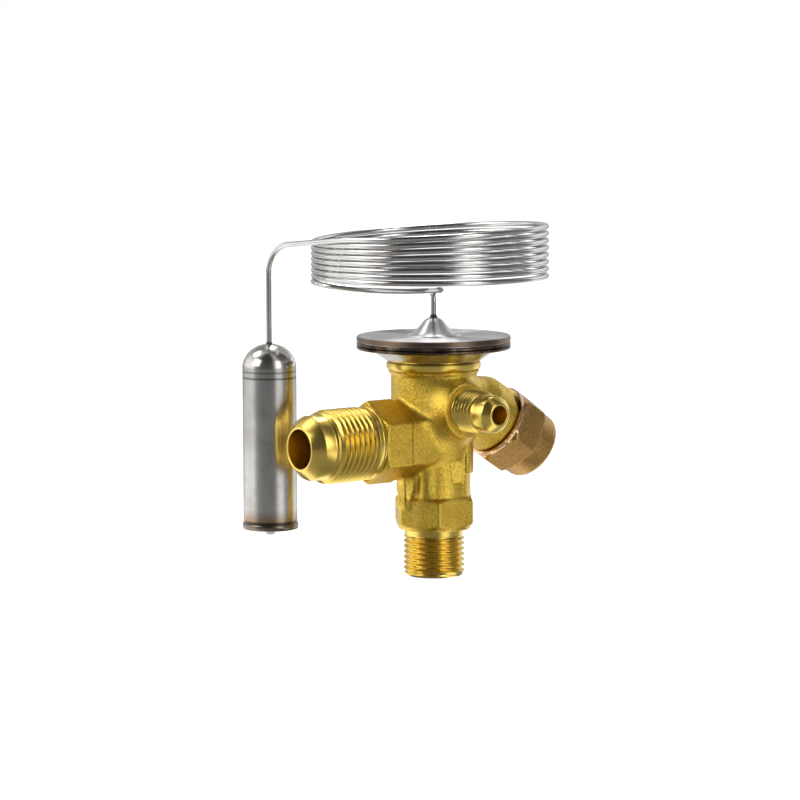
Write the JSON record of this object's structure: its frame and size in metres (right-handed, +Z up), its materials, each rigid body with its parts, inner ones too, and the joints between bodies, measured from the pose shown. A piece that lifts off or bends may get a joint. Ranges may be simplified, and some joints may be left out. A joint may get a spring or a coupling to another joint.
{
  "type": "refrigeration expansion valve",
  "caption": "Angle-way brass expansion valve for refrigerant, with a diaphragm head, a coiled capillary tube, a sensing bulb, flare ends and a capped setting spindle.",
  "frame": {"origin": "centre of the inlet's end face", "axes": "+Z up the valve axis to the diaphragm head, -X along the outlet, -Y along the equalizer port; the setting spindle leaves towards +X, 32 degrees down"},
  "size_m": [0.0805, 0.0613, 0.0916],
  "materials": {
    "forged_brass": "forged, sand-blasted, with turned ends",
    "cap_brass": "browned, fine-grained",
    "turned_brass": "turned",
    "stainless": "satin",
    "bright_stainless": "bright drawn",
    "spring_steel": "drawn wire",
    "seal_rubber": "moulded",
    "copper_gasket": "soft copper"
  },
  "bodies": {
    "housing": {"valve_body": "forged_brass", "head_lower_cover": "stainless", "diaphragm": "bright_stainless", "head_upper_cover": "stainless", "capillary_ferrule": "stainless", "capillary_tube": "bright_stainless", "sensing_bulb": "stainless", "pin_guide": "turned_brass", "pin_guide_seal": "seal_rubber", "superheat_spring": "spring_steel", "spindle_seal": "seal_rubber", "gland_follower": "turned_brass", "gland_nut": "turned_brass", "orifice_housing": "turned_brass", "orifice_seal": "seal_rubber", "cone_spring": "spring_steel", "spring_retainer": "turned_brass", "inlet_strainer": "stainless", "strainer_ring": "turned_brass"},
    "pin_set": {"diaphragm_pad": "stainless", "push_pin": "bright_stainless", "valve_cone": "stainless"},
    "spring_seat": {"spring_seat": "turned_brass"},
    "thrust_ball": {"thrust_ball": "bright_stainless"},
    "setting_spindle": {"setting_spindle": "turned_brass"},
    "cap_gasket": {"cap_gasket": "copper_gasket"},
    "seal_cap": {"seal_cap": "cap_brass"}
  },
  "joints": [
    {"name": "pin_stroke", "type": "slide", "parent": "housing", "child": "pin_set", "axis": [0, 0, -1], "range_m": [0, 0.0008], "stiffness_N_per_m": 8000, "springref_m": -0.001, "deforming": ["superheat_spring", "cone_spring"]},
    {"name": "spring_seat_lift", "type": "slide", "parent": "housing", "child": "spring_seat", "axis": [0, 0, 1], "range_m": [-0.00049, 0.00065], "deforming": ["superheat_spring"]},
    {"name": "spindle_advance", "type": "slide", "parent": "housing", "child": "thrust_ball", "axis": [0.848, 0, -0.5299], "range_m": [-0.0012, 0.0009]},
    {"name": "spindle_turn", "type": "hinge", "parent": "thrust_ball", "child": "setting_spindle", "pos_m": [0, 0, 0.0515], "axis": [0.848, 0, -0.5299], "range_deg": [-577.5, 433.5]},
    {"name": "cap_advance", "type": "slide", "parent": "housing", "child": "cap_gasket", "axis": [0.848, 0, -0.5299], "range_m": [0, 0.01101]},
    {"name": "cap_turn", "type": "hinge", "parent": "cap_gasket", "child": "seal_cap", "pos_m": [0, 0, 0.0515], "axis": [0.848, 0, -0.5299], "range_deg": [0, 3960]}
  ],
  "couplings": [
    {"joint": "spindle_turn", "follows": "spindle_advance", "rad_per_m": 8377.6},
    {"joint": "spring_seat_lift", "follows": "spindle_advance", "ratio": -0.52992},
    {"joint": "cap_advance", "follows": "cap_turn", "m_per_rad": 0.00015915}
  ]
}
